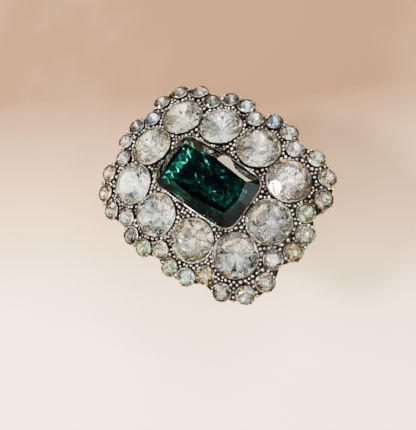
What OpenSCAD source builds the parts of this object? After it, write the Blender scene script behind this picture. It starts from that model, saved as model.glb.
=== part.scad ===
// Cocktail ring: a domed cluster head of round pastes around one cushion-cut
// green stone, on a plain hoop.  Millimetres.  The finger goes along Y, the
// head points up +Z, and the origin is the centre of the finger hole.

/* [Finger hole and hoop] */
// Inside diameter of the hoop
bore_d = 17; // [14:0.5:21]
// Thickness of the hoop
hoop_wall = 1.3; // [1:0.1:2]
// Width of the hoop along the finger
hoop_w = 2.8; // [2:0.1:4]
// Rounding of the hoop's outer edges
hoop_round = 0.5; // [0.2:0.1:0.8]

/* [Head] */
// Radius of the dome across the finger
dome_r_across = 31; // [26:1:50]
// Radius of the dome along the finger
dome_r_along = 45; // [38:1:70]
// Depth of every round collet below its stone's girdle
collet_depth = 1.9; // [1.7:0.1:2.4]
// Thickness of the domed back plate
plate_t = 0.5; // [0.4:0.1:0.8]
// Gap between neighbouring settings
gap = 0.04; // [0.02:0.01:0.1]

/* [Centre stone] */
// Length of the centre stone along the finger
centre_l = 11.5; // [9.5:0.1:13.8]
// Width of the centre stone across the finger
centre_w = 7.2; // [6:0.1:8.7]
// Squareness of the cushion outline
cushion_power = 5.9; // [4:0.1:9]
// How far the centre girdle lies below the top of the dome
centre_drop = 0.5; // [0.3:0.1:0.7]
// Height of the centre stone's crown
centre_crown = 1.3; // [0.8:0.1:2]
// Depth of the centre stone's pavilion
centre_pavilion = 2; // [1.7:0.1:2.4]
// Gap between the centre setting and the large settings
centre_gap = 0.12; // [0.05:0.01:0.3]

/* [Large round stones] */
// Diameter of a large round stone
large_d = 4.86; // [4:0.02:5.84]
// Gap between the two side stones of one side
side_gap = 0.3; // [0.1:0.05:0.6]

/* [Border stones] */
// Diameter of a border stone
small_d = 1.96; // [1.6:0.02:2.4]
// Gap between a notch stone's setting and its two large settings
notch_gap = 0.37; // [0.2:0.01:0.6]
// Gap between a lobe stone's setting and an end or side setting
lobe_gap = 0.37; // [0.3:0.01:0.5]
// Gap between a lobe stone's setting and a corner setting
corner_lobe_gap = 0.55; // [0.3:0.01:0.7]

/* [Metal] */
// Wall of a round collet at its rim
collet_wall = 0.1; // [0.08:0.01:0.16]
// Wall of the centre collet
centre_wall = 0.16; // [0.12:0.01:0.24]
// Height of a collet's rim above the girdle
rim_h = 0.16; // [0.12:0.01:0.2]
// Radius of a bead grain
grain_r = 0.2; // [0.15:0.01:0.24]
// Thickness of the foil behind a stone
foil_t = 0.05; // [0.03:0.01:0.06]

/* [Gallery] */
// Length of the gallery rail along the finger
rail_l = 15; // [12:0.5:18]
// Width of the gallery rail across the finger
rail_w = 12; // [9:0.5:14]
// Width of the rail's strip
rail_strip = 0.9; // [0.7:0.1:1.4]
// Height of the rail's strip
rail_t = 0.6; // [0.4:0.1:1]
// Height of the shortest gallery post
post_h = 0.6; // [0.3:0.1:2]
// Diameter of a gallery post
post_d = 0.8; // [0.6:0.1:1]
// Thickness of a shoulder's strap
strap_t = 1.2; // [0.8:0.1:1.6]
// Height above the finger's middle at which the shoulders leave the hoop
strap_z = 1.5; // [0:0.1:3]
// Width of each of a shoulder's three rays
ray_w = 1.1; // [0.8:0.1:1.4]

/* [Hidden] */
$fn = 64;
silver = [0.62, 0.60, 0.56];
dark_silver = [0.36, 0.34, 0.32];
green_glass = [0.02, 0.30, 0.27];
paste = [0.88, 0.91, 0.86];
foil_colour = [0.80, 0.78, 0.70];

bore_r = bore_d / 2;
hoop_r = bore_r + hoop_wall;
clear = 0.02;

// Proportions of a round stone, as shares of its radius
table_share = 0.56;
star_share = 0.78;
crown_share = 0.34;
star_rise = 0.64;
girdle_share = 0.04;
lower_share = 0.58;
lower_drop = 0.28;
pavilion_share = 0.56;

large_r = large_d / 2;
small_r = small_d / 2;
large_out = large_r + clear + collet_wall;
small_out = small_r + clear + collet_wall;
lip = 0.06;
sink = 0.2;
plate_share = 0.96;
N_LARGE = 10;

large_pitch = 2 * large_out + gap;
end_y = centre_l / 2 + centre_wall + centre_gap + large_out;
side_x = centre_w / 2 + centre_wall + centre_gap + large_out;
notch_r = large_out + small_out + notch_gap;
lobe_r = large_out + small_out + lobe_gap;
corner_lobe_r = large_out + small_out + corner_lobe_gap;

// A collet narrows downwards, because neighbours on a dome lean together, and
// the foot of a side collet stays clear of the centre collet
lean = collet_depth / dome_r_across;
side_foot = (1 - lean) * side_x - centre_w / 2 - centre_wall;
taper = min(0.97 - lean, side_foot / (large_out * cos(asin(side_x / dome_r_across))));

rail_z = hoop_r - 0.08;
rail_corner = 3;
bar_w = 1.6;
rail_side_x = (rail_w - rail_strip) / 2;
rail_end_y = (rail_l - rail_strip) / 2;
post_side = [rail_side_x, rail_l / 2 - rail_corner - post_d / 2];
post_end = [rail_w / 2 - rail_corner - post_d / 2, rail_end_y];

// How far the dome's surface has fallen at the point p
function reach(y) = dome_r_across - dome_r_along + sqrt(pow(dome_r_along, 2) - y * y);
function dome_drop(p) = dome_r_across - sqrt(pow(reach(p[1]), 2) - p[0] * p[0]);

head_z = rail_z + rail_t + post_h + plate_t + collet_depth
    + max(dome_drop(post_side), dome_drop(post_end));
dome_z = head_z - dome_r_across;

centre_z = head_z - centre_drop;
centre_ledge = 0.35;
centre_seat = 0.5;
centre_floor = 0.3;
centre_pit = centre_pavilion + 2 * foil_t;
cushion_steps = 48;
stone_steps = 24;

// One node for each large stone and each large collet, and one for the
// border stones and one for the border collets that go with it

// ---- Layout -------------------------------------------------------------

// The point at distances ra and rb from a and b, on the left of a to b
function meet(a, ra, b, rb) =
    let (d = norm(b - a),
         along = (d * d + ra * ra - rb * rb) / (2 * d),
         u = (b - a) / d)
    a + u * along + [-u[1], u[0]] * sqrt(ra * ra - along * along);

end_at = [0, end_y];

// A corner stone that touches the end stone and clears the centre collet's
// corner, its foot too, which leans inwards.  It pushes the side stones apart
// where the centre stone is long or wide
centre_corner = [centre_w / 2 * soften(cos(45)), centre_l / 2 * soften(sin(45))];
foot_lean = max(0, lean * norm(centre_corner) - (1 - taper) * large_out);
corner_clear = centre_wall + centre_gap + large_out + foot_lean;
near_corner = meet(end_at, large_pitch, centre_corner, corner_clear);
pushed_y = near_corner[1] - sqrt(pow(large_pitch, 2) - pow(near_corner[0] - side_x, 2));
side_at = [side_x, max(large_out + side_gap / 2, pushed_y)];
corner_at = meet(end_at, large_pitch, side_at, large_pitch);

// Large stones in order round the head, from the +Y end towards +X
large_half = [
    end_at, corner_at, side_at,
    [side_at[0], -side_at[1]], [corner_at[0], -corner_at[1]]
];
function large_at(i) =
    let (k = i % N_LARGE)
    k < 5 ? large_half[k] : -large_half[k - 5];

function is_corner(i) = i % 5 == 1 || i % 5 == 4;
function bearing(v) = atan2(v[1], v[0]);

// The notch stone sits outside the gap between large stones i and i + 1
function notch_at(i) = meet(large_at(i), notch_r, large_at(i + 1), notch_r);

// Lobe stones lie on an arc round large stone i, evenly between its notches
function lobe_reach(i) = is_corner(i) ? corner_lobe_r : lobe_r;
function lobe_from(i) = bearing(notch_at(i + N_LARGE - 1) - large_at(i));
function lobe_sweep(i) = (lobe_from(i) - bearing(notch_at(i) - large_at(i)) + 720) % 360;
function lobe_steps(i) =
    floor(lobe_reach(i) * lobe_sweep(i) * PI / 180 / (2 * small_out + gap));
function lobe_at(i, j) =
    let (a = lobe_from(i) - lobe_sweep(i) * j / lobe_steps(i))
    large_at(i) + lobe_reach(i) * [cos(a), sin(a)];

// Border stones that belong to large stone i, with the notch stone last
function border_at(i) = [
    for (j = [1 : lobe_steps(i)])
        j < lobe_steps(i) ? lobe_at(i, j) : notch_at(i)
];
all_border = [for (i = [0 : N_LARGE - 1]) each border_at(i)];
plate_outline = [for (k = [len(all_border) - 1 : -1 : 0]) all_border[k]];

// Where a setting that stands at p on the dome meets the back plate
function foot_at(p) =
    let (tilt = asin(p[1] / dome_r_along))
    [p[0] * (1 - collet_depth * cos(tilt) / reach(p[1])),
     p[1] * (1 - collet_depth / dome_r_along)];

// Puts its children on the dome above the point p, square to the surface
module on_dome(p) {
    translate([0, 0, dome_z])
        rotate([0, asin(p[0] / reach(p[1])), 0])
            translate([0, 0, dome_r_across - dome_r_along])
                rotate([-asin(p[1] / dome_r_along), 0, 0])
                    translate([0, 0, dome_r_along])
                        children();
}

// Everything inside the dome, from the given depth below the girdles
module dome(depth) {
    translate([0, 0, dome_z])
        rotate([90, 0, 0])
            rotate_extrude($fn = 240)
                intersection() {
                    translate([dome_r_across - dome_r_along, 0])
                        circle(r = dome_r_along - depth, $fn = 360);
                    translate([0, -dome_r_across])
                        square([dome_r_across, 2 * dome_r_across]);
                }
}

// ---- Outlines and stones ------------------------------------------------

// Cushion outline that stands grow outside the centre stone's girdle
function soften(v) = sign(v) * pow(abs(v), 2 / cushion_power);
function cushion(grow, steps) = [
    for (i = [0 : steps - 1])
        let (t = 360 * (i + 0.5) / steps)
        [(centre_w / 2 + grow) * soften(cos(t)), (centre_l / 2 + grow) * soften(sin(t))]
];

module cushion_prism(grow, z0, z1) {
    translate([0, 0, z0])
        linear_extrude(height = z1 - z0)
            polygon(cushion(grow, cushion_steps));
}

// A cushion-shaped stone through levels of [inset, z], from the top down
module cushion_stone(levels) {
    n = stone_steps;
    last = len(levels) - 1;
    points = [
        for (level = levels)
            each [for (p = cushion(-level[0], n)) [p[0], p[1], level[1]]]
    ];
    sides = [
        for (k = [0 : last - 1])
            for (i = [0 : n - 1])
                let (j = (i + 1) % n)
                each [[k * n + i, k * n + j, (k + 1) * n + j],
                      [k * n + i, (k + 1) * n + j, (k + 1) * n + i]]
    ];
    polyhedron(
        points,
        concat([[for (i = [n - 1 : -1 : 0]) i]], sides, [[for (i = [0 : n - 1]) last * n + i]]),
        convexity = 2);
}

function ring(r, n, turn, z) = [
    for (i = [0 : n - 1])
        let (a = 360 * i / n + turn)
        [r * cos(a), r * sin(a), z]
];

// Round brilliant: table, star points, girdle, lower points and culet
module brilliant(r) {
    top = crown_share * r;
    half = girdle_share * r / 2;
    star = 8;
    upper = 16;
    under = 32;
    lower = 48;
    culet = 56;
    points = concat(
        ring(table_share * r, 8, 0, top),
        ring(star_share * r, 8, 22.5, top * star_rise),
        ring(r, 16, 0, half),
        ring(r, 16, 0, -half),
        ring(lower_share * r, 8, 22.5, -lower_drop * r),
        [[0, 0, -pavilion_share * r]]);
    crown = [
        for (i = [0 : 7])
            let (k = (i + 1) % 8, g = 2 * i, g2 = (2 * i + 2) % 16)
            each [[i, k, star + i],
                  [i, star + i, upper + g],
                  [k, upper + g2, star + i],
                  [star + i, upper + g + 1, upper + g],
                  [star + i, upper + g2, upper + g + 1]]
    ];
    girdle = [
        for (i = [0 : 15])
            let (k = (i + 1) % 16)
            [upper + i, upper + k, under + k, under + i]
    ];
    pavilion = [
        for (i = [0 : 7])
            let (g = 2 * i, g2 = (2 * i + 2) % 16)
            each [[lower + i, under + g, under + g + 1],
                  [lower + i, under + g + 1, under + g2],
                  [lower + i, culet, under + g],
                  [lower + i, under + g2, culet]]
    ];
    polyhedron(points, concat([[for (i = [7 : -1 : 0]) i]], crown, girdle, pavilion),
               convexity = 2);
}

// Closed collet round a stone of radius r, rubbed over its girdle
module round_collet(r, out, depth) {
    ledge = girdle_share * r / 2 + clear;
    pit = pavilion_share * r + 3 * foil_t;
    rotate_extrude()
        polygon([
            [0, -depth], [out * taper, -depth], [out, 0],
            [out - collet_wall / 2, rim_h], [r - lip, rim_h],
            [r + clear, ledge], [r + clear, -ledge],
            [0.97 * r, -ledge], [0.62 * r, -pit], [0, -pit]
        ]);
}

// Foil cup that lies close under a round stone's pavilion
module round_foil(r) {
    z1 = -0.113 * r - clear;
    z2 = -lower_drop * r - clear;
    z3 = -0.52 * r - clear;
    rotate_extrude()
        polygon([
            [0.85 * r, z1], [lower_share * r, z2], [0.08 * r, z3],
            [0.08 * r, z3 - foil_t], [lower_share * r, z2 - foil_t],
            [0.85 * r, z1 - foil_t]
        ]);
}

// ---- Sub-parts ----------------------------------------------------------

module hoop() {
    color(silver)
        rotate([90, 0, 0])
            rotate_extrude($fn = 180) {
                translate([bore_r, -hoop_w / 2])
                    square([hoop_wall - hoop_round, hoop_w]);
                translate([bore_r, hoop_round - hoop_w / 2])
                    square([hoop_wall, hoop_w - 2 * hoop_round]);
                for (s = [-1, 1])
                    translate([hoop_r - hoop_round, s * (hoop_w / 2 - hoop_round)])
                        circle(r = hoop_round);
            }
}

// Fan of three rays that leaves the hoop's side and carries the gallery rail.
// Its section is an arc through the hoop's side and the rail's outer edge
module shoulder(side) {
    rise = rail_z - strap_z;
    arc_z = (pow(rail_w / 2, 2) + rail_z * rail_z - hoop_r * hoop_r) / (2 * rise);
    arc_r = norm([rail_w / 2, rail_z - arc_z]);
    spread = rail_l / 2 - rail_corner;
    foot = hoop_w / 2 - hoop_round;
    color(silver)
        intersection() {
            rotate([90, 0, 0])
                linear_extrude(height = rail_l, center = true)
                    difference() {
                        translate([0, arc_z])
                            circle(r = arc_r, $fn = 180);
                        translate([0, arc_z])
                            circle(r = arc_r - strap_t, $fn = 180);
                        circle(r = hoop_r, $fn = 180);
                        translate([-hoop_w - hoop_r, rail_z])
                            square([2 * (hoop_w + hoop_r), hoop_r]);
                    }
            rotate([90, 0, 90])
                translate([0, 0, side > 0 ? 0 : -2 * hoop_r])
                    linear_extrude(height = 2 * hoop_r)
                        difference() {
                            polygon([[-foot, strap_z], [foot, strap_z],
                                     [spread, rail_z], [-spread, rail_z]]);
                            for (k = [-1, 1])
                                polygon([[k * ray_w / 2, rail_z - ray_w],
                                         [k * (spread - ray_w), rail_z - ray_w],
                                         [k * (ray_w / 2 + clear), strap_z + 0.45 * rise]]);
                        }
        }
}

module shoulder_left() { shoulder(-1); }
module shoulder_right() { shoulder(1); }

module rounded_plate(w, l, r) {
    square([w, l - 2 * r], center = true);
    square([w - 2 * r, l], center = true);
    for (x = [-1, 1])
        for (y = [-1, 1])
            translate([x * (w / 2 - r), y * (l / 2 - r)])
                circle(r = r);
}

// Rail under the back plate, with a bar that saddles the hoop's crest
module gallery_rail() {
    color(silver)
        difference() {
            translate([0, 0, rail_z])
                linear_extrude(height = rail_t) {
                    difference() {
                        rounded_plate(rail_w, rail_l, rail_corner);
                        rounded_plate(rail_w - 2 * rail_strip, rail_l - 2 * rail_strip,
                                      rail_corner - rail_strip);
                    }
                    square([rail_w - rail_strip, bar_w], center = true);
                }
            rotate([90, 0, 0])
                cylinder(h = 2 * hoop_w, r = hoop_r, center = true, $fn = 180);
        }
}

module gallery_posts() {
    color(dark_silver)
        for (x = [-1, 1])
            for (y = [-1, 1])
                for (p = [post_side, post_end])
                    intersection() {
                        translate([x * p[0], y * p[1], rail_z + rail_t])
                            cylinder(h = head_z - rail_z, r = post_d / 2);
                        dome(collet_depth + plate_t);
                    }
}

// Domed plate that closes the backs and carries every setting
module back_plate() {
    color(dark_silver)
        difference() {
            intersection() {
                linear_extrude(height = head_z) {
                        polygon([for (p = plate_outline) plate_share * foot_at(p)]);
                        for (p = all_border)
                            translate(foot_at(p))
                                circle(r = small_out);
                    }
                dome(collet_depth);
            }
            dome(collet_depth + plate_t);
            cushion_prism(clear - centre_ledge, rail_z, head_z);
        }
}

module centre_collet() {
    color(silver)
        difference() {
            union() {
                difference() {
                    cushion_prism(centre_wall, rail_z + rail_t, centre_z + rim_h);
                    dome(collet_depth);
                }
                cushion_prism(-centre_ledge, centre_z - centre_pit - centre_floor,
                              centre_z - centre_seat);
            }
            cushion_prism(-lip, centre_z, centre_z + 2 * rim_h);
            cushion_prism(clear, centre_z - centre_seat, centre_z + rim_h / 2);
            cushion_prism(-centre_ledge - centre_wall, centre_z - centre_pit, centre_z);
        }
}

module centre_foil() {
    color(foil_colour)
        cushion_prism(-centre_ledge - centre_wall - clear, centre_z - centre_pit,
                      centre_z - centre_pit + foil_t);
}

module centre_stone() {
    half = 0.06;
    color(green_glass)
        translate([0, 0, centre_z])
            cushion_stone([
                [1.25, centre_crown], [0.6, centre_crown * 0.68], [0, half],
                [0, -half], [1.3, -centre_pavilion * 0.62],
                [2.6, -centre_pavilion]
            ]);
}

module large_collet(i) {
    color(silver)
        difference() {
            on_dome(large_at(i))
                round_collet(large_r, large_out, collet_depth + sink);
            dome(collet_depth);
        }
}

module large_stone(i) {
    color(paste)
        on_dome(large_at(i))
            rotate([0, 0, 17 * i])
                brilliant(large_r);
}

module large_foils() {
    color(foil_colour)
        for (i = [0 : N_LARGE - 1])
            on_dome(large_at(i))
                round_foil(large_r);
}

module border_collets(i) {
    color(silver)
        for (p = border_at(i))
            on_dome(p)
                round_collet(small_r, small_out, collet_depth);
}

module border_stones(i) {
    color(paste)
        for (p = border_at(i))
            on_dome(p)
                rotate([0, 0, 11 * i])
                    brilliant(small_r);
}

module border_foils() {
    color(foil_colour)
        for (p = all_border)
            on_dome(p)
                round_foil(small_r);
}

// Three bead-headed pins in the corner between two large settings.  The first
// touches both settings, or stands beside the line between them where they are
// far apart; side is 1 outside the ring of stones, -1 inside
module grain_trio(i, side) {
    a = large_at(i);
    b = large_at(i + 1);
    u = (b - a) / norm(b - a);
    out = [-u[1], u[0]] * side;
    touch = pow(large_out + grain_r + gap, 2) - pow(norm(b - a) / 2, 2);
    first = max(grain_r + gap / 2, sqrt(max(0, touch)));
    next = first + 2.1 * grain_r;
    middle = (a + b) / 2;
    for (p = [middle + out * first, middle + out * next + u * (grain_r + gap / 2),
              middle + out * next - u * (grain_r + gap / 2)])
        on_dome(p) {
            translate([0, 0, -collet_depth])
                cylinder(h = collet_depth, r = 0.85 * grain_r);
            sphere(r = grain_r, $fn = 32);
        }
}

module inner_grains() {
    color(silver)
        for (i = [0 : N_LARGE - 1])
            grain_trio(i, -1);
}

module outer_grains() {
    color(silver)
        for (i = [0 : N_LARGE - 1])
            grain_trio(i, 1);
}

hoop();
shoulder_left();
shoulder_right();
gallery_rail();
gallery_posts();
back_plate();
centre_collet();
centre_foil();
centre_stone();
large_collet(0);  // large_collet_01
large_collet(1);  // large_collet_02
large_collet(2);  // large_collet_03
large_collet(3);  // large_collet_04
large_collet(4);  // large_collet_05
large_collet(5);  // large_collet_06
large_collet(6);  // large_collet_07
large_collet(7);  // large_collet_08
large_collet(8);  // large_collet_09
large_collet(9);  // large_collet_10
large_foils();
large_stone(0);  // large_stone_01
large_stone(1);  // large_stone_02
large_stone(2);  // large_stone_03
large_stone(3);  // large_stone_04
large_stone(4);  // large_stone_05
large_stone(5);  // large_stone_06
large_stone(6);  // large_stone_07
large_stone(7);  // large_stone_08
large_stone(8);  // large_stone_09
large_stone(9);  // large_stone_10
border_collets(0);  // border_collets_01
border_collets(1);  // border_collets_02
border_collets(2);  // border_collets_03
border_collets(3);  // border_collets_04
border_collets(4);  // border_collets_05
border_collets(5);  // border_collets_06
border_collets(6);  // border_collets_07
border_collets(7);  // border_collets_08
border_collets(8);  // border_collets_09
border_collets(9);  // border_collets_10
border_foils();
border_stones(0);  // border_stones_01
border_stones(1);  // border_stones_02
border_stones(2);  // border_stones_03
border_stones(3);  // border_stones_04
border_stones(4);  // border_stones_05
border_stones(5);  // border_stones_06
border_stones(6);  // border_stones_07
border_stones(7);  // border_stones_08
border_stones(8);  // border_stones_09
border_stones(9);  // border_stones_10
inner_grains();
outer_grains();
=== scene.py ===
"""Looks of the cocktail ring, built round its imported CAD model.

Lengths are metres, and MM turns a millimetre into one.  The finger goes along Y, the
head points up +Z, and the origin is the centre of the finger hole, as in the CAD model.
"""

import math
import random

import bmesh
import bpy
import numpy as np
from mathutils import Matrix, Vector, geometry, noise


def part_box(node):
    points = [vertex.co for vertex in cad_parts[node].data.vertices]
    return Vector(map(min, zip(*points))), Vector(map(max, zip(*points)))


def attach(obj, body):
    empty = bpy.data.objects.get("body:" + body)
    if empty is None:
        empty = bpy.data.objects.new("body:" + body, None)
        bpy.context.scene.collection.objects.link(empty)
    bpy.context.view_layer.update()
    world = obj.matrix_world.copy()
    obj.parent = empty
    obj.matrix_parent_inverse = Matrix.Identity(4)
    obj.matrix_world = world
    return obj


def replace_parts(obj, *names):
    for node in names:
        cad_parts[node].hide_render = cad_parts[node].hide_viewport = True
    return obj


MM = 0.001
BODY = "root"
LARGE_COUNT = 10

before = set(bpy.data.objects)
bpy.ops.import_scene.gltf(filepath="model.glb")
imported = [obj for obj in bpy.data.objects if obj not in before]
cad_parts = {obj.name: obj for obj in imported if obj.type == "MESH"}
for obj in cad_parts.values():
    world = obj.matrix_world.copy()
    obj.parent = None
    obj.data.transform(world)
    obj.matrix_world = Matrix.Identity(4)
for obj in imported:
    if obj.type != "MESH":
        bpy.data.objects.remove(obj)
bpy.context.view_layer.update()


# ---- Reading the frame ---------------------------------------------------


def islands(node):
    """The separate solids of a CAD node, each as an array of its points."""
    bm = bmesh.new()
    bm.from_mesh(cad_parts[node].data)
    bmesh.ops.remove_doubles(bm, verts=bm.verts, dist=1e-7)
    left = dict.fromkeys(bm.verts)  # a set's order would change from run to run
    found = []
    while left:
        stack = [left.popitem()[0]]
        piece = []
        while stack:
            v = stack.pop()
            piece.append(v.co[:])
            for e in v.link_edges:
                w = e.other_vert(v)
                if w in left:
                    del left[w]
                    stack.append(w)
        found.append(np.array(piece))
    bm.free()
    return found


class Seat:
    """Where a round stone sits: the centre of its girdle, its axis and its radius."""

    def __init__(self, points):
        mean = points.mean(axis=0)
        axis = np.linalg.svd(points - mean)[2][2]
        axis = axis * np.sign(axis[2])
        along = (points - mean) @ axis
        radial = np.linalg.norm(points - mean - np.outer(along, axis), axis=1)
        self.radius = float(radial.max())
        girdle = along[radial > 0.99 * self.radius].mean()
        self.centre = Vector(mean + axis * girdle)
        self.axis = Vector(axis)

    def matrix(self, turn=0.0):
        x = Vector((1, 0, 0)) - self.axis * self.axis.x
        x.normalize()
        y = self.axis.cross(x)
        basis = Matrix((x, y, self.axis)).transposed().to_4x4()
        return Matrix.Translation(self.centre) @ basis @ Matrix.Rotation(turn, 4, "Z")


def seats_of(node):
    """Seats of a node's stones, clockwise round the head seen from above."""
    found = [Seat(p) for p in islands(node)]
    middle = sum((s.centre for s in found), Vector()) / len(found)
    start = math.atan2(middle.y, middle.x)

    def turned(seat):
        a = math.atan2(seat.centre.y, seat.centre.x) - start
        return -math.atan2(math.sin(a), math.cos(a))

    return sorted(found, key=turned)


LARGE = [seats_of("large_stone_%02d" % (i + 1))[0] for i in range(LARGE_COUNT)]
BORDER = [seats_of("border_stones_%02d" % (i + 1)) for i in range(LARGE_COUNT)]
ALL_BORDER = [seat for group in BORDER for seat in group]
ALL_ROUND = LARGE + ALL_BORDER
RIM_LINE = [(seat.centre.x, seat.centre.y) for seat in ALL_BORDER]


def dome_fit():
    """Coefficients of the dome through every round stone's girdle centre."""
    pts = np.array([s.centre[:] for s in ALL_ROUND])
    x2, y2 = pts[:, 0] ** 2, pts[:, 1] ** 2
    terms = np.stack([np.ones(len(pts)), x2, y2, x2 * x2, x2 * y2, y2 * y2], 1)
    return np.linalg.lstsq(terms, pts[:, 2], rcond=None)[0]


DOME = dome_fit()


def dome_z(x, y):
    x2, y2 = x * x, y * y
    return float(DOME @ np.array([1.0, x2, y2, x2 * x2, x2 * y2, y2 * y2]))


def dome_normal(x, y):
    d = 0.01 * MM
    n = Vector((dome_z(x - d, y) - dome_z(x + d, y), dome_z(x, y - d) - dome_z(x, y + d), 2 * d))
    return n.normalized()


# Walls of the settings, as in the CAD model: the collet's rim stands outside the stone
COLLET_OUT = 0.12 * MM
COLLET_DEPTH = 1.9 * MM
RIM_TOP = 0.16 * MM


# ---- Mesh helpers --------------------------------------------------------


def new_object(name, mesh, materials):
    obj = bpy.data.objects.new(name, mesh)
    bpy.context.scene.collection.objects.link(obj)
    for m in materials:
        obj.data.materials.append(m)
    return obj


def mesh_object(name, verts, faces, materials):
    mesh = bpy.data.meshes.new(name)
    mesh.from_pydata([tuple(v) for v in verts], [], faces)
    mesh.validate()
    mesh.update()
    for p in mesh.polygons:
        p.use_smooth = True
    return new_object(name, mesh, materials)


def worn_object(name, parts, material):
    """One object from (verts, faces, worn) parts, with worn kept as an attribute."""
    verts, faces, worn = [], [], []
    for v, f, w in parts:
        base = len(verts)
        verts.extend(v)
        worn.extend(w)
        faces.extend([tuple(i + base for i in face) for face in f])
    obj = mesh_object(name, verts, faces, [material])
    layer = obj.data.color_attributes.new("worn", "FLOAT_COLOR", "POINT")
    layer.data.foreach_set("color", [c for w in worn for c in (w, w, w, 1.0)])
    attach(obj, BODY)
    return obj


# ---- Stones: a rough is cut by one plane for each facet ------------------


def cut_stone(outline, top, bottom, planes, rng, jitter=0.0):
    """Cuts the prism over outline by planes [(normal, distance, kind, number)].

    Returns a bmesh whose faces carry the layers kind and number.
    """
    bm = bmesh.new()
    kinds = bm.faces.layers.int.new("kind")
    numbers = bm.faces.layers.int.new("number")
    low = [bm.verts.new((p[0], p[1], bottom)) for p in outline]
    high = [bm.verts.new((p[0], p[1], top)) for p in outline]
    n = len(outline)
    bm.faces.new(list(reversed(low)))
    bm.faces.new(high)
    for i in range(n):
        j = (i + 1) % n
        bm.faces.new((low[i], low[j], high[j], high[i]))
    for k, (normal, distance, kind) in enumerate(planes):
        no = Vector(normal).normalized()
        if jitter:
            no += Vector([rng.gauss(0, jitter) for _ in range(3)])
            no.normalize()
        geom = bm.verts[:] + bm.edges[:] + bm.faces[:]
        cut = bmesh.ops.bisect_plane(bm, geom=geom, dist=1e-9, plane_co=no * distance,
                                     plane_no=no, clear_outer=True)
        edges = [e for e in cut["geom_cut"] if isinstance(e, bmesh.types.BMEdge)]
        if len(edges) < 3:
            continue
        made = bmesh.ops.contextual_create(bm, geom=edges)
        for f in made["faces"]:
            f[kinds] = kind
            f[numbers] = k + 1
    bm.normal_update()
    bmesh.ops.recalc_face_normals(bm, faces=bm.faces[:])
    return bm


CROWN, RIM_FOIL, HEART_FOIL = 1, 2, 3


def slope_plane(azimuth, steep, reach, z, kind):
    """A facet at the azimuth whose plane passes reach from the axis at height z.

    steep is its angle from level; a foiled facet faces down.
    """
    up = 1 if kind == CROWN else -1
    n = Vector((math.sin(steep) * math.cos(azimuth), math.sin(steep) * math.sin(azimuth),
                up * math.cos(steep)))
    p = Vector((reach * math.cos(azimuth), reach * math.sin(azimuth), z))
    return (n, n.dot(p), kind)


def round_planes(r, fold):
    """The facets of an old-cut brilliant of radius r with fold main facets."""
    crown_h = 0.34 * r
    table_r = 0.54 * r
    depth = 0.56 * r
    half = 0.02 * r
    main = math.atan2(crown_h - half, r - table_r)
    deep = math.atan2(depth - half, r)
    turn = 2 * math.pi / fold
    planes = [(Vector((0, 0, 1)), crown_h, CROWN)]
    for k in range(fold):
        planes.append(slope_plane(turn * k, main, r, half, CROWN))
        planes.append(slope_plane(turn * (k + 0.5), main * 0.6, table_r * 1.02, crown_h, CROWN))
        planes.append(slope_plane(turn * k, deep, r, -half, HEART_FOIL))
        planes.append(slope_plane(turn * (k + 0.5), deep * 0.62, 0.42 * r, -depth * 0.72, HEART_FOIL))
    for k in range(2 * fold):
        a = turn * (k + 0.5) / 2
        planes.append(slope_plane(a, main * 1.2, r * 0.995, half, CROWN))
        planes.append(slope_plane(a, deep * 1.1, r * 0.995, -half, RIM_FOIL))
        planes.append(slope_plane(turn * k / 2, deep * 1.35, r * 0.985, -half, RIM_FOIL))
    planes.append((Vector((0, 0, -1)), depth * 0.93, HEART_FOIL))
    return planes


def circle(r, n):
    return [(r * math.cos(2 * math.pi * i / n), r * math.sin(2 * math.pi * i / n))
            for i in range(n)]


def crinkle(bm, rng, kinds_wanted, depth):
    """Raises or sinks the middle of every foiled facet a little, as hand-laid foil is."""
    kinds = bm.faces.layers.int["kind"]
    for f in [f for f in bm.faces if f[kinds] in kinds_wanted]:
        kind = f[kinds]
        made = bmesh.ops.poke(bm, faces=[f], offset=rng.uniform(-depth, depth))
        for g in made["faces"]:
            g[kinds] = kind


def tone_stone(bm, rng, palettes):
    """Gives every foiled facet a shade of its own, and the crown facets white. The foil shades are
    painted reflections and painted shade, standing in for a cut stone's mosaic of light.

    palettes maps a kind of facet to its [(colour, weight)].
    """
    layer = bm.loops.layers.float_color.new("tone")
    kinds = bm.faces.layers.int["kind"]
    for f in bm.faces:
        colour = (1.0, 1.0, 1.0)
        if f[kinds] in palettes:
            shades = palettes[f[kinds]]
            shade = rng.choices([s[0] for s in shades], [s[1] for s in shades])[0]
            k = rng.uniform(0.8, 1.1)
            colour = [min(1.0, c * k) for c in shade]
            f.material_index = 1
        f.smooth = False
        for loop in f.loops:
            loop[layer] = (*colour, 1.0)


def stone_object(name, roughs, materials, node):
    """One object from (bmesh, matrix) pairs; it stands for the CAD node."""
    mesh = bpy.data.meshes.new(name)
    whole = bmesh.new()
    for bm, matrix in roughs:
        bm.transform(matrix)
        part = bpy.data.meshes.new("part")
        bm.to_mesh(part)
        bm.free()
        whole.from_mesh(part)
        bpy.data.meshes.remove(part)
    whole.to_mesh(mesh)
    whole.free()
    obj = new_object(name, mesh, materials)
    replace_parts(obj, node)
    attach(obj, BODY)
    return obj


# ---- Materials -----------------------------------------------------------


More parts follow.
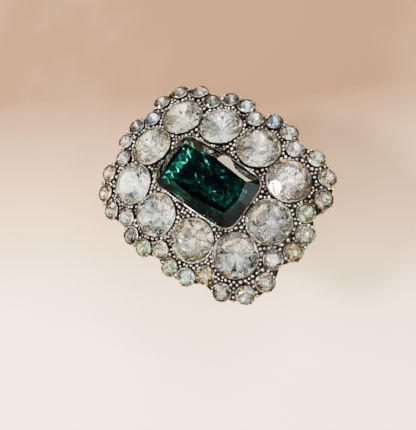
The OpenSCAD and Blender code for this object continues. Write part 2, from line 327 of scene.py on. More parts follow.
class Nodes:
    """A short way to write a material's node tree."""

    def __init__(self, name):
        self.material = bpy.data.materials.new(name)
        self.material.use_nodes = True
        self.tree = self.material.node_tree
        self.tree.nodes.clear()
        self.out = self.tree.nodes.new("ShaderNodeOutputMaterial")
        self.shader = self.tree.nodes.new("ShaderNodeBsdfPrincipled")
        self.link(self.shader.outputs[0], self.out.inputs["Surface"])

    def link(self, a, b):
        self.tree.links.new(a, b)

    def feed(self, socket, value):
        """Gives a socket a number, a colour or another node's output."""
        if isinstance(value, (int, float)):
            socket.default_value = value
        elif isinstance(value, tuple):
            socket.default_value = (*value, 1) if len(value) == 3 else value
        else:
            self.link(value, socket)

    def add(self, kind, **values):
        node = self.tree.nodes.new(kind)
        for key, value in values.items():
            setattr(node, key, value)
        return node

    def place(self):
        return self.add("ShaderNodeTexCoord").outputs["Object"]

    def noise(self, scale, detail=3.0, rough=0.5, warp=0.0):
        n = self.add("ShaderNodeTexNoise")
        n.inputs["Scale"].default_value = scale
        n.inputs["Detail"].default_value = detail
        n.inputs["Roughness"].default_value = rough
        n.inputs["Distortion"].default_value = warp
        self.link(self.place(), n.inputs["Vector"])
        return n.outputs["Fac"]

    def ramp(self, value, stops, easing="LINEAR"):
        n = self.add("ShaderNodeValToRGB")
        n.color_ramp.interpolation = easing
        e = n.color_ramp.elements
        while len(e) < len(stops):
            e.new(0.5)
        for i, (pos, colour) in enumerate(stops):
            e[i].position = pos
            e[i].color = (*colour, 1) if len(colour) == 3 else colour
        self.link(value, n.inputs["Fac"])
        return n.outputs["Color"]

    def mix(self, fac, a, b, blend="MIX"):
        n = self.add("ShaderNodeMix", data_type="RGBA", blend_type=blend)
        for place, value in ((0, fac), (6, a), (7, b)):
            self.feed(n.inputs[place], value)
        return n.outputs[2]

    def range(self, value, low, high, to_low, to_high):
        n = self.add("ShaderNodeMapRange")
        for i, v in enumerate((low, high, to_low, to_high)):
            n.inputs[i + 1].default_value = v
        self.link(value, n.inputs[0])
        return n.outputs[0]

    def math(self, kind, a, b):
        n = self.add("ShaderNodeMath", operation=kind)
        self.feed(n.inputs[0], a)
        self.feed(n.inputs[1], b)
        return n.outputs[0]

    def attribute(self, name):
        return self.add("ShaderNodeAttribute", attribute_name=name).outputs["Color"]

    def bump(self, height, strength, distance):
        n = self.add("ShaderNodeBump")
        n.inputs["Strength"].default_value = strength
        n.inputs["Distance"].default_value = distance
        self.link(height, n.inputs["Height"])
        self.link(n.outputs["Normal"], self.shader.inputs["Normal"])

    def set(self, **values):
        for key, value in values.items():
            self.feed(self.shader.inputs[key.replace("_", " ")], value)


def silver(name, bright, dark, patina, scale=900.0, worn=False):
    """Old silver: bright where it is rubbed, dark and dull where the patina stays.

    patina is the level of the noise under which it stays.  With worn, the mesh says
    in its worn attribute how open to rubbing each point is.
    """
    m = Nodes(name)
    big = m.noise(scale, 5.0, 0.62, 0.3)
    fine = m.noise(scale * 6, 4.0, 0.6)
    level = m.math("ADD", m.math("MULTIPLY", big, 0.7), m.math("MULTIPLY", fine, 0.3))
    if worn:
        level = m.math("ADD", level, m.range(m.attribute("worn"), 0.0, 1.0, -0.30, 0.14))
    mask = m.range(level, patina - 0.07, patina + 0.09, 0.0, 1.0)
    shade = m.ramp(mask, [(0.0, dark), (0.5, tuple((a + b) / 2 for a, b in zip(dark, bright))),
                          (1.0, bright)])
    grime = m.ramp(fine, [(0.3, (0.72, 0.69, 0.66)), (0.65, (1, 1, 1))])
    m.set(Base_Color=m.mix(1.0, shade, grime, "MULTIPLY"), Metallic=1.0,
          Roughness=m.range(mask, 0.0, 1.0, 0.42, 0.17))
    m.bump(fine, 0.3, 0.02 * MM)
    return m.material


def clear_glass(name, tint):
    m = Nodes(name)
    wear = m.noise(2600, 3.0, 0.6)
    m.set(Base_Color=m.mix(m.range(wear, 0.3, 0.7, 0.0, 0.25), (1, 1, 1), tint),
          Roughness=m.range(wear, 0.35, 0.75, 0.0, 0.05), IOR=1.58, Transmission_Weight=1.0)
    m.bump(m.noise(1500, 2.0, 0.5), 0.5, 0.06 * MM)
    return m.material


def foiled(name, tint, rough=0.15):
    """Foil seen through the facet in front of it."""
    m = Nodes(name)
    spots = m.noise(1900, 4.0, 0.65, 0.4)
    aged = m.ramp(spots, [(0.28, (0.70, 0.66, 0.58)), (0.38, (1, 1, 1))])
    # tone carries each facet's painted reflections and painted shade
    base = m.mix(1.0, m.attribute("tone"), aged, "MULTIPLY")
    m.set(Base_Color=m.mix(1.0, base, tint, "MULTIPLY"), Metallic=1.0,
          Roughness=m.range(spots, 0.3, 0.7, rough * 1.6, rough * 0.7))
    m.bump(spots, 0.3, 0.02 * MM)
    return m.material


BRIGHT = (0.66, 0.61, 0.54)
BROWN = (0.020, 0.016, 0.013)
METAL_RIM = silver("silver_rims", (0.44, 0.40, 0.35), BROWN, 0.60, worn=True)
METAL_EDGE = silver("silver_edge", (0.46, 0.41, 0.35), BROWN, 0.66, 1600, worn=True)
METAL_BED = silver("silver_bed", (0.22, 0.19, 0.16), (0.010, 0.008, 0.007), 0.60, 1500)
METAL_GRAIN = silver("silver_grains", BRIGHT, BROWN, 0.60, 900, worn=True)
METAL_HOOP = silver("silver_hoop", (0.68, 0.64, 0.58), (0.16, 0.14, 0.12), 0.42, 500)
METAL_BACK = silver("silver_back", (0.36, 0.33, 0.29), (0.035, 0.030, 0.026), 0.52, 700)


# Tints of the pastes and of the foils behind them
TINTS = {
    "white": (1.0, 1.0, 0.98),
    "cream": (1.0, 0.97, 0.84),
    "champagne": (0.92, 0.78, 0.54),
    "amber": (1.0, 0.84, 0.46),
    "green": (0.84, 1.0, 0.66),
    "aqua": (0.70, 0.98, 0.96),
    "rose": (1.0, 0.90, 0.88),
    "blue": (0.72, 0.82, 0.95),
    "smoke": (0.42, 0.40, 0.36),
    "moss": (0.36, 0.42, 0.36),
    "slate": (0.40, 0.48, 0.58),
}
GLASSES = {k: clear_glass("paste_" + k, tuple(0.4 + 0.6 * c for c in v)) for k, v in TINTS.items()}
FOILS = {k: foiled("foil_" + k, v) for k, v in TINTS.items()}

# Shades of the foils behind the round pastes. Besides the foil's own white, they paint a cut stone's
# mosaic of light into the foil: painted warm reflections of cream and gold toward the rim, and painted
# blue reflections and painted shade of ice, steel and night in the heart
WHITE, GOLD, CREAM = (1.0, 1.0, 0.98), (1.0, 0.76, 0.34), (1.0, 0.91, 0.62)
ICE, STEEL, NIGHT = (0.66, 0.84, 1.0), (0.25, 0.36, 0.46), (0.02, 0.025, 0.03)
PALETTES = {
    RIM_FOIL: [(WHITE, 4), (CREAM, 4), (GOLD, 3.0), (STEEL, 0.4), (NIGHT, 0.3)],
    HEART_FOIL: [(WHITE, 9), (CREAM, 1.2), (ICE, 2.4), (STEEL, 1.4), (NIGHT, 1.3)],
}


# ---- Round stones --------------------------------------------------------

LARGE_TINTS = ["cream", "cream", "white", "cream", "rose", "white", "white", "cream", "white", "white"]
BORDER_TINTS = [
    ["cream", "smoke", "slate"],
    ["smoke", "smoke", "smoke", "smoke"],
    ["smoke", "blue", "cream"],
    ["slate", "cream", "white"],
    ["cream", "cream", "cream", "green"],
    ["cream", "amber", "white"],
    ["cream", "white", "moss", "amber"],
    ["aqua", "green", "cream"],
    ["green", "smoke", "white"],
    ["champagne", "champagne", "champagne", "cream"],
]


def make_round_stones():
    rng = random.Random(7)
    for i, seat in enumerate(LARGE):
        r = seat.radius
        bm = cut_stone(circle(r, 64), r, -r, round_planes(r, 8), rng, 0.014)
        crinkle(bm, rng, (HEART_FOIL,), 0.045 * MM)
        crinkle(bm, rng, (RIM_FOIL, HEART_FOIL), 0.022 * MM)
        tone_stone(bm, rng, PALETTES)
        tint = LARGE_TINTS[i]
        stone_object("paste_%02d" % (i + 1), [(bm, seat.matrix(rng.uniform(0, 6.28)))],
                     [GLASSES[tint], FOILS[tint]], "large_stone_%02d" % (i + 1))
    for i, group in enumerate(BORDER):
        for j, seat in enumerate(group):
            r = seat.radius
            bm = cut_stone(circle(r, 40), r, -r, round_planes(r, 6), rng, 0.02)
            crinkle(bm, rng, (RIM_FOIL, HEART_FOIL), 0.012 * MM)
            tone_stone(bm, rng, PALETTES)
            tint = BORDER_TINTS[i][j]
            stone_object("border_paste_%02d_%d" % (i + 1, j + 1),
                         [(bm, seat.matrix(rng.uniform(0, 6.28)))],
                         [GLASSES[tint], FOILS[tint]], "border_stones_%02d" % (i + 1))


# ---- Collets -------------------------------------------------------------


def collet_part(seat, rng, segments):
    """An open-ended collet, its rim rubbed over the girdle and worn uneven by hand."""
    r = seat.radius
    out = r + COLLET_OUT
    foot = -COLLET_DEPTH
    profile = [
        (out * 0.91, foot, 0.35), (out * 0.985, -0.5 * MM, 0.45), (out, -0.12 * MM, 0.45),
        (out, 0.03 * MM, 0.5), (out - 0.02 * MM, 0.10 * MM, 0.9),
        (out - 0.05 * MM, RIM_TOP - 0.02 * MM, 1.0),
        (out - 0.09 * MM, RIM_TOP - 0.03 * MM, 0.75), (r - 0.03 * MM, 0.09 * MM, 0.15),
        (r - 0.05 * MM, 0.04 * MM, 0.0), (r - 0.01 * MM, 0.0, 0.0),
    ]
    rim_from = 4
    matrix = seat.matrix()
    seed = Vector((rng.uniform(0, 50), rng.uniform(0, 50), rng.uniform(0, 50)))
    verts, faces, worn = [], [], []
    rows = len(profile)
    for s in range(segments):
        a = 2 * math.pi * s / segments
        p = Vector((math.cos(a), math.sin(a), 0))
        sway = noise.noise(p * 3 + seed) * 0.02 * MM
        nick = noise.noise(p * 15 + seed) * 0.035 * MM
        for k, (pr, pz, w) in enumerate(profile):
            reach = pr + (sway if k > 1 else 0.0)
            rise = nick if k >= rim_from else 0.0
            verts.append(matrix @ Vector((p.x * reach, p.y * reach, pz + rise)))
            worn.append(w)
    for s in range(segments):
        t = (s + 1) % segments
        for k in range(rows - 1):
            faces.append((s * rows + k, t * rows + k, t * rows + k + 1, s * rows + k + 1))
    return verts, faces, worn


def make_round_collets():
    rng = random.Random(11)
    for i, seat in enumerate(LARGE):
        obj = worn_object("collet_%02d" % (i + 1), [collet_part(seat, rng, 120)], METAL_RIM)
        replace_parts(obj, "large_collet_%02d" % (i + 1))
    for i, group in enumerate(BORDER):
        parts = [collet_part(s, rng, 64) for s in group]
        obj = worn_object("border_collet_%02d" % (i + 1), parts, METAL_RIM)
        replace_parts(obj, "border_collets_%02d" % (i + 1))


def outward(seat):
    """Level direction from the large stones next to a border stone out past it."""
    near = sorted(LARGE, key=lambda s: (s.centre - seat.centre).length)[:2]
    away = Vector()
    for s in near:
        step = (seat.centre - s.centre)
        away += step / step.length ** 3
    away.z = 0
    return away.normalized()


def make_edge_beads():
    """The beaded edge on the outer side of every border collet."""
    rng = random.Random(31)
    size = 0.17 * MM
    count = 9
    spread = math.radians(112)
    parts = []
    for seat in ALL_BORDER:
        ring_r = seat.radius + 0.05 * MM
        matrix = seat.matrix()
        away = matrix.to_3x3().inverted() @ outward(seat)
        middle = math.atan2(away.y, away.x)
        for k in range(count):
            a = middle + spread * (2 * k / (count - 1) - 1) + rng.uniform(-0.03, 0.03)
            rise = -0.04 * MM + rng.uniform(-0.04, 0.04) * MM
            p = Vector((ring_r * math.cos(a), ring_r * math.sin(a), rise))
            parts.append(bead(matrix @ p, seat.axis, size * rng.uniform(0.8, 1.15), rng, 2))
    worn_object("edge_beads", parts, METAL_EDGE)


def web_part(a, b, rng):
    """The silver between two neighbouring border collets, a rounded block."""
    span = b.centre - a.centre
    x = span.normalized()
    z = (a.axis + b.axis).normalized()
    y = z.cross(x)
    sink, inset = 0.93 * MM, 0.55 * MM
    centre = (a.centre + b.centre) / 2 - z * sink
    half = (span.length / 2 - inset, 1.0 * MM, 0.8 * MM)
    bm = bmesh.new()
    bmesh.ops.create_cube(bm, size=2)
    bmesh.ops.subdivide_edges(bm, edges=bm.edges[:], cuts=5, use_grid_fill=True)
    seed = Vector((rng.uniform(0, 99), 0, 0))
    power = 5
    worn = []
    for v in bm.verts:
        k = sum(abs(c) ** power for c in v.co) ** (1 / power)
        c = v.co / k
        top = 0.06 * MM * noise.noise(c * 2 + seed)
        worn.append(0.35 if c.z > 0.5 else 0.1)
        v.co = centre + x * c.x * half[0] + y * c.y * half[1] + z * (c.z * half[2] + top)
    verts = [v.co.copy() for v in bm.verts]
    faces = [tuple(v.index for v in f.verts) for f in bm.faces]
    bm.free()
    return verts, faces, worn


def make_webs():
    rng = random.Random(37)
    n = len(ALL_BORDER)
    parts, size = [], 0.19 * MM
    for k, a in enumerate(ALL_BORDER):
        b = ALL_BORDER[(k + 1) % n]
        parts.append(web_part(a, b, rng))
        z = (a.axis + b.axis).normalized()
        out = (outward(a) + outward(b)).normalized()
        for reach, lift in ((0.80, -0.10), (0.38, 0.0)):
            centre = (a.centre + b.centre) / 2 + out * reach * MM + z * lift * MM
            parts.append(bead(centre, z, size * rng.uniform(0.85, 1.1), rng))
    worn_object("border_webs", parts, METAL_GRAIN)


# ---- Centre stone --------------------------------------------------------

CENTRE_LOW, CENTRE_HIGH = (Vector(p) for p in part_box("centre_stone"))
CENTRE_A = (CENTRE_HIGH.x - CENTRE_LOW.x) / 2
CENTRE_B = (CENTRE_HIGH.y - CENTRE_LOW.y) / 2
CENTRE_CROWN = 1.3 * MM
CENTRE_Z = CENTRE_HIGH.z - CENTRE_CROWN
CUSHION_POWER = 5.9
CENTRE_WALL = 0.16 * MM


def cushion(grow, n):
    pts = []
    for i in range(n):
        t = 2 * math.pi * (i + 0.5) / n
        c, s = math.cos(t), math.sin(t)
        k = 2 / CUSHION_POWER
        pts.append(((CENTRE_A + grow) * math.copysign(abs(c) ** k, c),
                    (CENTRE_B + grow) * math.copysign(abs(s) ** k, s)))
    return pts


def support(azimuth):
    """How far the cushion reaches in a level direction."""
    q = CUSHION_POWER / (CUSHION_POWER - 1)
    return (abs(CENTRE_A * math.cos(azimuth)) ** q + abs(CENTRE_B * math.sin(azimuth)) ** q) ** (1 / q)


# Shades of the green stone's foil, and what each part of it uses, as [(colour, weight)].
# The mixes paint the stone's glints, reflections and dark shade into the foil: GLINT and TEAL are
# painted glints at the far end, NAVY a painted blue reflection at the near end.
BLACK, DEEP, SEA = (0.001, 0.007, 0.008), (0.001, 0.026, 0.022), (0.001, 0.075, 0.058)
TEAL, GLINT = (0.0, 0.22, 0.16), (0.0, 0.85, 0.60)
MOSS, NAVY = (0.002, 0.060, 0.032), (0.004, 0.014, 0.040)
FAR_END = [(BLACK, 2), (DEEP, 4), (SEA, 3), (TEAL, 3), (GLINT, 1.6)]
FAR_STEP = [(BLACK, 2), (DEEP, 4), (SEA, 3), (TEAL, 1)]
NEAR_END = [(NAVY, 4), (BLACK, 1), (DEEP, 2), (SEA, 2)]
LEFT_SIDE = [(MOSS, 3), (DEEP, 3), (BLACK, 2)]
RIGHT_SIDE = [(DEEP, 3), (BLACK, 2), (SEA, 2)]
BOTTOM = [(DEEP, 5), (SEA, 4)]


def centre_planes():
    """Facets of the cushion cut, as (normal, distance, kind, foil shades)."""
    half = 0.06 * MM
    planes = [(Vector((0, 0, 1)), CENTRE_CROWN, CROWN, None)]

    def facet(degrees, steep, inset, z, kind, foil=None):
        a = math.radians(degrees)
        planes.append((*slope_plane(a, math.radians(steep), support(a) - inset * MM, z, kind), foil))

    # The foil behind each side's facets takes that side's mix of painted glints, reflections and shade
    sides = {-6: RIGHT_SIDE, 6: RIGHT_SIDE, 50: FAR_STEP, 78: FAR_END, 102: FAR_END, 130: FAR_END,
             174: LEFT_SIDE, 186: LEFT_SIDE, 230: LEFT_SIDE, 258: NEAR_END, 282: NEAR_END,
             310: RIGHT_SIDE}
    for d, foil in sides.items():
        facet(d, 42, 0, half, CROWN)
        facet(d, 60, 0, -half, RIM_FOIL, foil)
    # The steps below the rim; those at the far end are tilted to throw the light back, and their foil
    # is also painted with bright glints
    for d, foil in ((90, FAR_END), (66, FAR_STEP), (114, FAR_END), (142, FAR_STEP), (38, RIGHT_SIDE),
                    (0, RIGHT_SIDE), (180, LEFT_SIDE), (222, LEFT_SIDE), (250, NEAR_END),
                    (270, NEAR_END), (290, NEAR_END), (318, RIGHT_SIDE)):
        facet(d, 40, 0.45, -0.75 * MM, HEART_FOIL, foil)
        facet(d, 21, 1.1, -1.25 * MM, HEART_FOIL, foil)
    # The shallow bottom, tilted a little to every side
    for k, d in enumerate((8, 60, 84, 120, 172, 188, 236, 262, 300, 352)):
        facet(d, 2 + 1.5 * (k % 3), 2.3, -1.66 * MM, HEART_FOIL, BOTTOM)
    return planes


def cut_arc(bm, centre, radius, parts):
    """Cuts the foiled facets along an arc round the centre; returns its faces."""
    kinds = bm.faces.layers.int["kind"]
    for k in range(parts):
        a = math.pi * (k + 0.5) / parts
        no = Vector((math.cos(a), math.sin(a), 0))
        faces = [f for f in bm.faces if f[kinds] in (RIM_FOIL, HEART_FOIL)]
        geom = list({x for f in faces for x in (*f.verts, *f.edges, f)})
        bmesh.ops.bisect_plane(bm, geom=geom, dist=1e-9, plane_co=centre + no * radius, plane_no=no)
    return [f for f in bm.faces if f[kinds] in (RIM_FOIL, HEART_FOIL)
            and (f.calc_center_median().to_2d() - centre.to_2d()).length < radius]


def green_glass():
    m = Nodes("green_paste")
    wear = m.noise(1800, 3.0, 0.6)
    m.set(Base_Color=m.mix(m.range(wear, 0.3, 0.7, 0.0, 0.3), (0.16, 0.80, 0.68), (0.12, 0.68, 0.56)),
          Roughness=m.range(wear, 0.35, 0.75, 0.0, 0.04), IOR=1.58, Transmission_Weight=1.0)
    return m.material


# The rounded patch at the near end of the green stone's foil, where it takes the NEAR_END shades: a
# painted blue reflection
ARC_CENTRE = Vector((-1.4, -8.45, 0)) * MM
ARC_RADIUS = 4.9 * MM


def make_centre_stone():
    rng = random.Random(5)
    planes = centre_planes()
    bm = cut_stone(cushion(0, 96), 2 * MM, -2.2 * MM, [p[:3] for p in planes], rng, 0.006)
    numbers = bm.faces.layers.int["number"]
    kinds = bm.faces.layers.int["kind"]
    near_number = len(planes) + 1
    # Facets inside the arc are painted the near end's blue reflection
    for f in cut_arc(bm, ARC_CENTRE, ARC_RADIUS, 24):
        f[numbers] = near_number
    foils = [p[3] for p in planes] + [NEAR_END]
    layer = bm.loops.layers.float_color.new("tone")
    for _ in range(2):
        for f in [f for f in bm.faces if f[kinds] in (RIM_FOIL, HEART_FOIL)]:
            kind, number = f[kinds], f[numbers]
            made = bmesh.ops.poke(bm, faces=[f], offset=rng.uniform(-0.012, 0.012) * MM)
            for g in made["faces"]:
                g[kinds], g[numbers] = kind, number
    # Each foiled facet is painted a shade from its part's mix: painted glints, painted reflections and
    # painted shade
    for f in bm.faces:
        f.material_index = 0
        f.smooth = False
        shade = WHITE
        if f[kinds] in (RIM_FOIL, HEART_FOIL):
            foil = foils[f[numbers] - 1]
            shade = rng.choices([x[0] for x in foil], [x[1] for x in foil])[0]
            f.material_index = 1
        for loop in f.loops:
            loop[layer] = (*shade, 1.0)
    stone_object("green_stone", [(bm, Matrix.Translation((0, 0, CENTRE_Z)))],
                 [green_glass(), foiled("foil_green", (1, 1, 1), 0.06)], "centre_stone")


def make_centre_collet():
    """The bezel of the centre stone, with a fine beaded edge."""
    rng = random.Random(13)
    n = 160
    wall = CENTRE_WALL
    bead_size, pitch = 0.075 * MM, 0.17 * MM
    rows = [(wall * 0.6, -1.6, 0.2), (wall, -0.4, 0.3), (wall, 0.04, 0.6), (wall * 0.7, 0.12, 1.0),
            (0.04 * MM, 0.13, 0.9), (-0.04 * MM, 0.09, 0.2), (-0.05 * MM, 0.04, 0.0)]
    verts, faces, worn = [], [], []
    for grow, z, w in rows:
        verts.extend([Vector((p[0], p[1], CENTRE_Z + z * MM)) for p in cushion(grow, n)])
        worn.extend([w] * n)
    for k in range(len(rows) - 1):
        for i in range(n):
            j = (i + 1) % n
            faces.append((k * n + i, k * n + j, (k + 1) * n + j, (k + 1) * n + i))
    parts = [(verts, faces, worn)]
    edge = [Vector((p[0], p[1], CENTRE_Z + 0.11 * MM)) for p in cushion(wall * 0.75, 400)]
    last = edge[-1]
    for p in edge:
        if (p - last).length > pitch:
            parts.append(bead(p, Vector((0, 0, 1)), bead_size * rng.uniform(0.85, 1.15), rng, 1))
            last = p
    obj = worn_object("centre_setting", parts, METAL_RIM)
    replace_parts(obj, "centre_collet")


# ---- The silver between the settings --------------------------------------

BED_DEPTH = 0.45 * MM


def in_cushion(x, y, grow):
    a, b = CENTRE_A + grow, CENTRE_B + grow
    return abs(x / a) ** CUSHION_POWER + abs(y / b) ** CUSHION_POWER < 1


def clearance(x, y):
    """How far a point on the bed is from the nearest round setting."""
    best = 1.0
    for s in ALL_ROUND:
        d = math.hypot(x - s.centre.x, y - s.centre.y) - s.radius - COLLET_OUT
        best = min(best, d)
    return best


def cushion_gap(x, y):
    """Roughly how far a point is outside the centre setting."""
    k = (abs(x / CENTRE_A) ** CUSHION_POWER + abs(y / CENTRE_B) ** CUSHION_POWER) ** (1 / CUSHION_POWER)
    return (1 - 1 / k) * math.hypot(x, y) - CENTRE_WALL if k > 0 else -1.0


def rim_contains(x, y):
    """Whether a point is inside the line through the border stones' centres."""
    hit = False
    for k, (ax, ay) in enumerate(RIM_LINE):
        bx, by = RIM_LINE[(k + 1) % len(RIM_LINE)]
        if (ay > y) != (by > y) and x < (bx - ax) * (y - ay) / (by - ay) + ax:
            hit = not hit
    return hit


def grid(reach_x, reach_y, step):
    """The points of a level grid over the head, one column after the other."""
    x = -reach_x
    while x < reach_x:
        y = -reach_y
        while y < reach_y:
            yield x, y
            y += step
        x += step


def make_bed():
    """The pitted silver sheet between the settings, its edge under their walls."""
    rng = random.Random(3)
    step = 0.2 * MM
    gap = 0.05 * MM
    points, edges = [], []

    def loop(pts):
        base = len(points)
        points.extend(Vector(p) for p in pts)
        edges.extend((base + i, base + (i + 1) % len(pts)) for i in range(len(pts)))

    for s in ALL_ROUND:
        n = 64 if s in LARGE else 36
        r = s.radius + COLLET_OUT * 0.6
        loop([(s.centre.x + r * math.cos(2 * math.pi * k / n),
               s.centre.y + r * math.sin(2 * math.pi * k / n)) for k in range(n)])
    loop(cushion(0.1 * MM, 96))
    for x, y in grid(11 * MM, 13 * MM, step):
        px, py = x + rng.uniform(-0.4, 0.4) * step, y + rng.uniform(-0.4, 0.4) * step
        if clearance(px, py) > gap and cushion_gap(px, py) > gap:
            points.append(Vector((px, py)))
    v2, _, faces, _, _, _ = geometry.delaunay_2d_cdt(points, edges, [], 0, 1e-9)

    kept = []
    for f in faces:
        cx = sum(v2[i].x for i in f) / len(f)
        cy = sum(v2[i].y for i in f) / len(f)
        if not rim_contains(cx, cy) or in_cushion(cx, cy, 0.09 * MM):
            continue
        if any(math.hypot(cx - s.centre.x, cy - s.centre.y) < s.radius + COLLET_OUT * 0.58
               for s in ALL_ROUND):
            continue
        kept.append(tuple(f))
    verts = []
    for p in v2:
        bumps = noise.noise(Vector((p.x, p.y, 0)) / (0.35 * MM)) * 0.06 * MM
        verts.append(Vector((p.x, p.y, dome_z(p.x, p.y) - BED_DEPTH + bumps)))
    obj = mesh_object("silver_bed", verts, kept, [METAL_BED])
    bm = bmesh.new()
    bm.from_mesh(obj.data)
    bmesh.ops.delete(bm, geom=[v for v in bm.verts if not v.link_faces], context="VERTS")
    bm.normal_update()
    if sum(f.normal.z for f in bm.faces) < 0:
        bmesh.ops.reverse_faces(bm, faces=bm.faces[:])
    bm.to_mesh(obj.data)
    bm.free()
    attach(obj, BODY)


# ---- Bead grains ----------------------------------------------------------


def bead(centre, axis, radius, rng, detail=2):
    """A small hand-raised bead, no two alike: (verts, faces, worn)."""
    bm = bmesh.new()
    bmesh.ops.create_icosphere(bm, subdivisions=detail, radius=radius)
    turn = axis.to_track_quat("Z", "Y").to_matrix().to_4x4()
    seed = Vector((rng.uniform(0, 99), rng.uniform(0, 99), rng.uniform(0, 99)))
    worn = []
    for v in bm.verts:
        worn.append(max(0.0, min(1.0, 0.45 + 0.75 * v.co.z / radius)))
        v.co *= 1 + 0.16 * noise.noise(v.co / radius * 0.9 + seed)
    bm.transform(Matrix.Translation(centre) @ turn)
    verts = [v.co.copy() for v in bm.verts]
    faces = [tuple(v.index for v in f.verts) for f in bm.faces]
    bm.free()
    return verts, faces, worn


def make_grains():
    """Fills every gap between the settings with beads, the widest places first."""
    rng = random.Random(23)
    gap = 0.08 * MM
    smallest = 0.12 * MM
    edge_width = 2.0 * MM
    spots = []
    for x, y in grid(10.5 * MM, 12.5 * MM, 0.07 * MM):
        c = clearance(x, y)
        if c > gap:
            c = min(c, cushion_gap(x, y))
            if c > gap:
                spots.append((c, x, y))
    rng.shuffle(spots)
    spots.sort(key=lambda s: -min(s[0], 0.20 * MM))
    placed = []
    for c, px, py in spots:
        r = min(c * 1.05, rng.uniform(0.15, 0.27) * MM)
        if r < smallest or not rim_contains(px, py):
            continue
        if any((px - q[0]) ** 2 + (py - q[1]) ** 2 < ((r + q[2]) * 1.06) ** 2 for q in placed):
            continue
        placed.append((px, py, r))
    inner, outer = [], []
    for px, py, r in placed:
        n = dome_normal(px, py)
        lift = -0.10 * MM + rng.uniform(-0.07, 0.05) * MM
        part = bead(Vector((px, py, dome_z(px, py))) + n * lift, n, r, rng)
        near = min(math.hypot(px - s.centre.x, py - s.centre.y) for s in ALL_BORDER)
        (outer if near < edge_width else inner).append(part)
    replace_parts(worn_object("grains_inner", inner, METAL_GRAIN), "inner_grains")
    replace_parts(worn_object("grains_outer", outer, METAL_GRAIN), "outer_grains")


# ---- Carried-over CAD nodes ------------------------------------------------


def dress_nodes():
    looks = {
        "hoop": METAL_HOOP, "shoulder_left": METAL_HOOP, "shoulder_right": METAL_HOOP,
        "gallery_rail": METAL_HOOP, "gallery_posts": METAL_BACK, "back_plate": METAL_BACK,
        "centre_foil": FOILS["green"], "large_foils": FOILS["white"], "border_foils": FOILS["white"],
    }
    for node, material in looks.items():
        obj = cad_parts[node]
        obj.data.materials.clear()
        obj.data.materials.append(material)


# ---- Stage ------------------------------------------------------------------


def make_camera():
    aim = Vector((-3.16, -2.73, 14.0)) * MM
    azimuth = math.radians(-12.86)
    elevation = math.radians(70.13)
    roll = math.radians(42.14)
    distance = 49.54 * MM
    away = Vector((math.sin(azimuth) * math.cos(elevation),
                   -math.cos(azimuth) * math.cos(elevation), math.sin(elevation)))
    data = bpy.data.cameras.new("camera")
    data.lens = 37.67
    data.sensor_width = 36
    data.clip_start = 0.001
    data.clip_end = 10
    cam = bpy.data.objects.new("camera", data)
    cam.location = aim + away * distance
    turn = (-away).to_track_quat("-Z", "Y")
    cam.rotation_mode = "QUATERNION"
    cam.rotation_quaternion = turn @ Matrix.Rotation(-roll, 3, "Z").to_quaternion()
    bpy.context.scene.collection.objects.link(cam)
    bpy.context.scene.camera = cam


def make_floor():
    size = 600 * MM
    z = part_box("hoop")[0][2]
    bpy.ops.mesh.primitive_grid_add(x_subdivisions=24, y_subdivisions=24, size=size, location=(0, 0, z))
    floor = bpy.context.object
    floor.name = "floor"
    m = Nodes("pale_paper")
    soft = m.noise(18, 4.0, 0.55)
    fibre = m.noise(1400, 3.0, 0.6)
    # Painted shade: the floor's colour runs from dark brown on the far side to pale on the near side,
    # standing in for the light falling off across the paper, with soft noise to vary it
    near = m.add("ShaderNodeVectorMath", operation="DOT_PRODUCT")
    near.inputs[1].default_value = (-0.84, -0.55, 0)
    m.link(m.place(), near.inputs[0])
    painted_falloff = m.range(near.outputs["Value"], -26 * MM, 22 * MM, 0.0, 1.0)
    patchy = m.math("ADD", painted_falloff, m.range(soft, 0.3, 0.7, -0.12, 0.12))
    m.set(Base_Color=m.ramp(patchy, [(0.0, (0.19, 0.09, 0.035)), (0.5, (0.58, 0.36, 0.20)),
                                     (1.0, (1.0, 0.74, 0.50))]),
          Roughness=0.85)
    m.bump(fibre, 0.15, 0.05 * MM)
    floor.data.materials.append(m.material)


# The lights' places and sizes are in millimetres, and they all aim at the head
HEAD = Vector((0, 0, 13))
WARM, COOL, DAY, AMBER = (1.0, 0.88, 0.70), (0.80, 0.90, 1.0), (1.0, 0.97, 0.92), (1.0, 0.80, 0.48)
# Where the small lights that make the stones sparkle stand, seen from the head
SPARKS = ((0.5, -0.3, 0.80), (-0.25, -0.75, 0.6), (0.7, 0.5, 0.50), (-0.8, 0.35, 0.50),
          (0.35, 0.8, 0.45), (-0.35, -0.35, 0.87))


def area_light(name, place, aim, size, power, colour):
    data = bpy.data.lights.new(name, "AREA")
    data.shape = "RECTANGLE"
    data.size, data.size_y = size[0] * MM, size[1] * MM
    data.energy = power
    data.color = colour
    light = bpy.data.objects.new(name, data)
    light.location = Vector(place) * MM
    light.rotation_mode = "QUATERNION"
    light.rotation_quaternion = (Vector(aim) * MM - light.location).to_track_quat("-Z", "Y")
    bpy.context.scene.collection.objects.link(light)


def card(name, direction, distance, size, radiance, colour):
    """A soft box in the given direction from the head, with the given brightness."""
    place = HEAD + Vector(direction).normalized() * distance
    power = radiance * math.pi * size[0] * size[1] * MM * MM
    area_light(name, place, HEAD, size, power, colour)


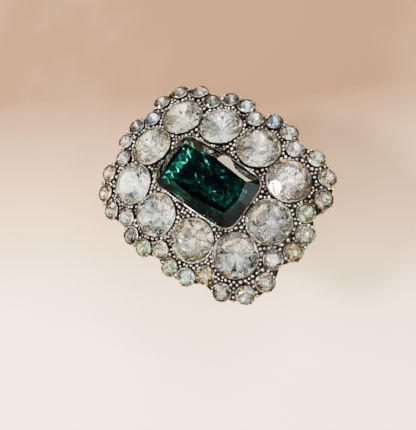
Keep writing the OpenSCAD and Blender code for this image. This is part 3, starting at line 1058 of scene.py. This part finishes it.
def make_lights():
    card("window", (0.50, -0.78, 0.38), 190, (60, 60), 1.0, COOL)
    card("key_side", (0.55, -0.02, 0.83), 200, (44, 44), 42.0, DAY)
    card("key_back", (-0.30, 0.74, 0.60), 200, (45, 45), 30.0, WARM)
    card("key_top", (-0.46, 0.36, 0.81), 200, (34, 34), 330.0, DAY)
    card("front_top", (-0.12, -0.44, 0.89), 200, (60, 60), 20.0, DAY)
    card("left_panel", (-0.70, -0.10, 0.70), 170, (70, 60), 9.0, WARM)
    card("low_card", (0.97, 0.24, 0.05), 150, (34, 34), 14.0, AMBER)
    for k, direction in enumerate(SPARKS):
        card("spark_%d" % k, direction, 200, (13, 13), 120.0, (WARM, COOL, DAY)[k % 3])


def make_sky():
    world = bpy.data.worlds.new("studio")
    bpy.context.scene.world = world
    world.use_nodes = True
    tree = world.node_tree
    back = tree.nodes["Background"]
    coord = tree.nodes.new("ShaderNodeTexCoord")

    def along(direction, stops):
        dot = tree.nodes.new("ShaderNodeVectorMath")
        dot.operation = "DOT_PRODUCT"
        dot.inputs[1].default_value = direction
        ramp = tree.nodes.new("ShaderNodeValToRGB")
        tree.links.new(coord.outputs["Generated"], dot.inputs[0])
        tree.links.new(dot.outputs["Value"], ramp.inputs["Fac"])
        points = ramp.color_ramp.elements
        while len(points) < len(stops):
            points.new(0.5)
        for point, (place, colour) in zip(points, stops):
            point.position = place
            point.color = (*colour, 1)
        return ramp.outputs["Color"]

    def times(a, b):
        mix = tree.nodes.new("ShaderNodeMix")
        mix.data_type = "RGBA"
        mix.blend_type = "MULTIPLY"
        mix.inputs[0].default_value = 1.0
        tree.links.new(a, mix.inputs[6])
        tree.links.new(b, mix.inputs[7])
        return mix.outputs[2]

    height = along((0, 0, 1), [(0.0, (0.95, 0.90, 0.84)), (0.06, (0.80, 0.76, 0.71)),
                               (0.16, (0.42, 0.40, 0.37)), (0.6, (1.0, 1.0, 1.0))])
    # A dark patch, such as a studio's unlit ceiling, where the green table mirrors the sky
    ceiling = along((0.08, 0.33, 0.94), [(0.90, (1.0, 1.0, 1.0)), (0.955, (0.02, 0.02, 0.03))])
    side = along((0.05, 0.05, 1.0), [(0.25, (0.24, 0.22, 0.21)), (0.75, (1.35, 1.35, 1.35))])

    tree.links.new(times(times(height, side), ceiling), back.inputs["Color"])
    back.inputs["Strength"].default_value = 1.7


make_camera()
make_floor()
make_lights()
make_sky()
make_round_stones()
make_round_collets()
make_edge_beads()
make_webs()
make_centre_stone()
make_centre_collet()
make_bed()
make_grains()
dress_nodes()
